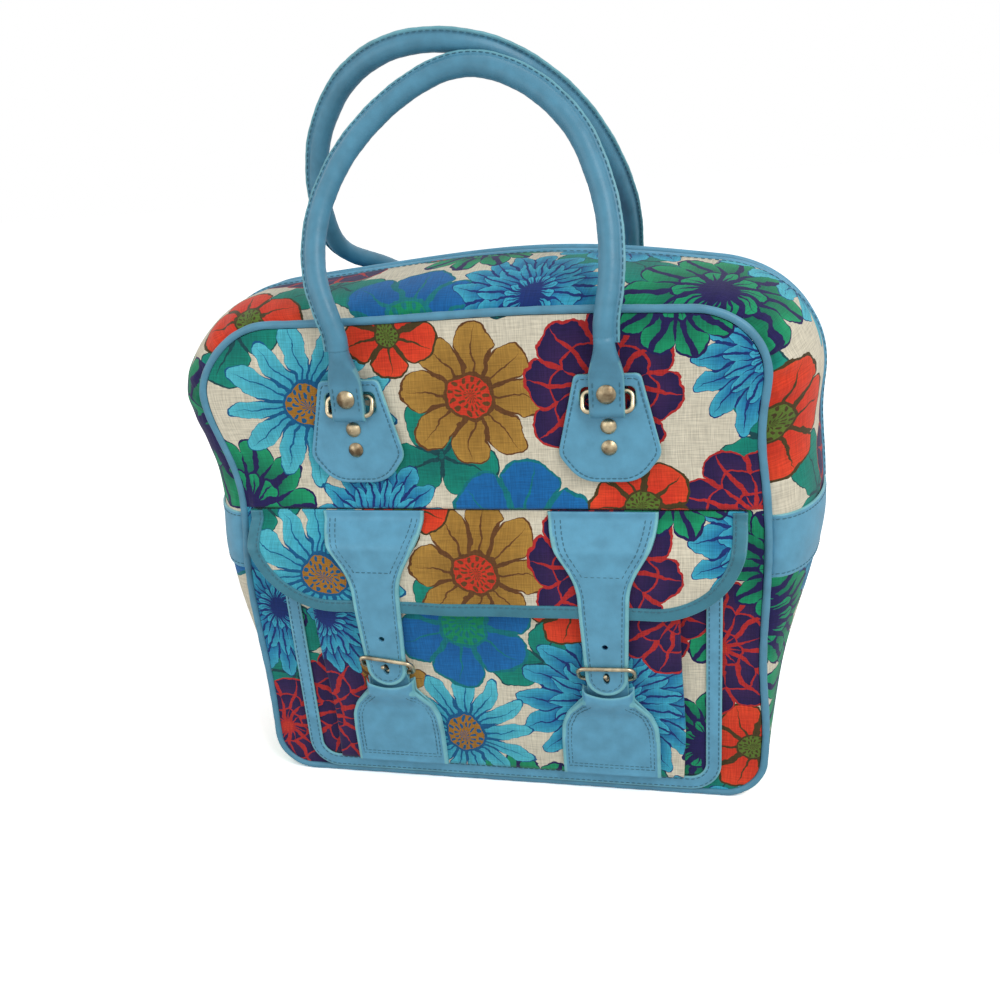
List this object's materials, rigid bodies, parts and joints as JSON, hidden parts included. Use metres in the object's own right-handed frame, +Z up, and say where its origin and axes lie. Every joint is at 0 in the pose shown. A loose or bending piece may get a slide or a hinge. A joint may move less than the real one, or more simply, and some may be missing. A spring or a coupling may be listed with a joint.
{
  "type": "bowling bag",
  "caption": "Zip-top travel bag in printed cloth with vinyl trim, two upright handles on rings and a pleated front pocket under a flap held by two buckled straps.",
  "frame": {"origin": "middle of the flat bottom that the bag stands on", "axes": "+X to the bag's right as seen from the front, +Y to the back, +Z up; the front with the pocket faces -Y"},
  "size_m": [0.4507, 0.2206, 0.5167],
  "materials": {
    "printed_cloth": "woven linen-like cloth with a large printed flower pattern",
    "blue_vinyl": "soft pale-blue vinyl with a fine grain",
    "light_metal": "light gold plating, worn",
    "rivet_metal": "light gold plating with darkened rims",
    "zip_tape": "dark woven tape",
    "zip_coil": "dark plastic coil",
    "board": "plain stiff board",
    "cord": "twisted cord, hidden"
  },
  "bodies": {
    "bag": {"lower_gusset": "printed_cloth", "front_zip_gusset": "printed_cloth", "rear_zip_gusset": "printed_cloth", "left_side_band": "blue_vinyl", "right_side_band": "blue_vinyl", "front_zip_lip": "blue_vinyl", "rear_zip_lip": "blue_vinyl", "front_zip_tape": "zip_tape", "rear_zip_tape": "zip_tape", "front_zip_coil": "zip_coil", "rear_zip_coil": "zip_coil", "front_lower_panel": "printed_cloth", "front_upper_panel": "printed_cloth", "back_panel": "printed_cloth", "front_piping": "blue_vinyl", "rear_piping": "blue_vinyl", "base_board": "board", "front_left_tab": "blue_vinyl", "front_right_tab": "blue_vinyl", "rear_left_tab": "blue_vinyl", "rear_right_tab": "blue_vinyl", "front_left_chape": "blue_vinyl", "front_right_chape": "blue_vinyl", "rear_left_chape": "blue_vinyl", "rear_right_chape": "blue_vinyl", "tab_rivets": "rivet_metal", "pocket_front": "printed_cloth", "pocket_band": "blue_vinyl", "flap": "printed_cloth", "flap_binding": "blue_vinyl", "left_strap": "blue_vinyl", "right_strap": "blue_vinyl", "left_lower_tab": "blue_vinyl", "right_lower_tab": "blue_vinyl", "left_buckle_chape": "blue_vinyl", "right_buckle_chape": "blue_vinyl"},
    "front_rings": {"front_left_ring": "light_metal", "front_right_ring": "light_metal"},
    "front_handle": {"front_handle": "blue_vinyl", "front_handle_core": "cord", "front_handle_rivets": "rivet_metal"},
    "rear_rings": {"rear_left_ring": "light_metal", "rear_right_ring": "light_metal"},
    "rear_handle": {"rear_handle": "blue_vinyl", "rear_handle_core": "cord", "rear_handle_rivets": "rivet_metal"},
    "zip_slider": {"zip_slider": "light_metal"},
    "zip_pull": {"zip_pull": "light_metal"},
    "left_buckle": {"left_buckle_frame": "light_metal"},
    "left_prong": {"left_prong": "light_metal"},
    "right_buckle": {"right_buckle_frame": "light_metal"},
    "right_prong": {"right_prong": "light_metal"}
  },
  "joints": [
    {"name": "front_rings_swing", "type": "hinge", "parent": "bag", "child": "front_rings", "pos_m": [0, -0.0907, 0.298], "axis": [-1, 0, 0], "range_deg": [0, 15]},
    {"name": "front_handle_fold", "type": "hinge", "parent": "front_rings", "child": "front_handle", "pos_m": [0, -0.0963, 0.28649], "axis": [1, 0, 0], "range_deg": [0, 180]},
    {"name": "rear_rings_swing", "type": "hinge", "parent": "bag", "child": "rear_rings", "pos_m": [0, 0.0907, 0.298], "axis": [1, 0, 0], "range_deg": [0, 15]},
    {"name": "rear_handle_fold", "type": "hinge", "parent": "rear_rings", "child": "rear_handle", "pos_m": [0, 0.0963, 0.28649], "axis": [-1, 0, 0], "range_deg": [0, 180]},
    {"name": "zip_slide", "type": "slide", "parent": "bag", "child": "zip_slider", "axis": [0, 0, 1], "range_m": [0, 0.05]},
    {"name": "zip_pull_swing", "type": "hinge", "parent": "zip_slider", "child": "zip_pull", "pos_m": [-0.2251, 0, 0.226], "axis": [0, 1, 0], "range_deg": [0, 170]},
    {"name": "left_buckle_lift", "type": "hinge", "parent": "bag", "child": "left_buckle", "pos_m": [-0.078, -0.101, 0.1], "axis": [1, 0, 0], "range_deg": [0, 15]},
    {"name": "left_prong_lift", "type": "hinge", "parent": "left_buckle", "child": "left_prong", "pos_m": [-0.078, -0.101, 0.1], "axis": [-1, 0, 0], "range_deg": [0, 8]},
    {"name": "right_buckle_lift", "type": "hinge", "parent": "bag", "child": "right_buckle", "pos_m": [0.078, -0.101, 0.1], "axis": [1, 0, 0], "range_deg": [0, 15]},
    {"name": "right_prong_lift", "type": "hinge", "parent": "right_buckle", "child": "right_prong", "pos_m": [0.078, -0.101, 0.1], "axis": [-1, 0, 0], "range_deg": [0, 8]}
  ],
  "couplings": [
    {"joint": "front_rings_swing", "follows": "front_handle_fold", "ratio": 0.083332},
    {"joint": "rear_rings_swing", "follows": "rear_handle_fold", "ratio": 0.083332}
  ]
}
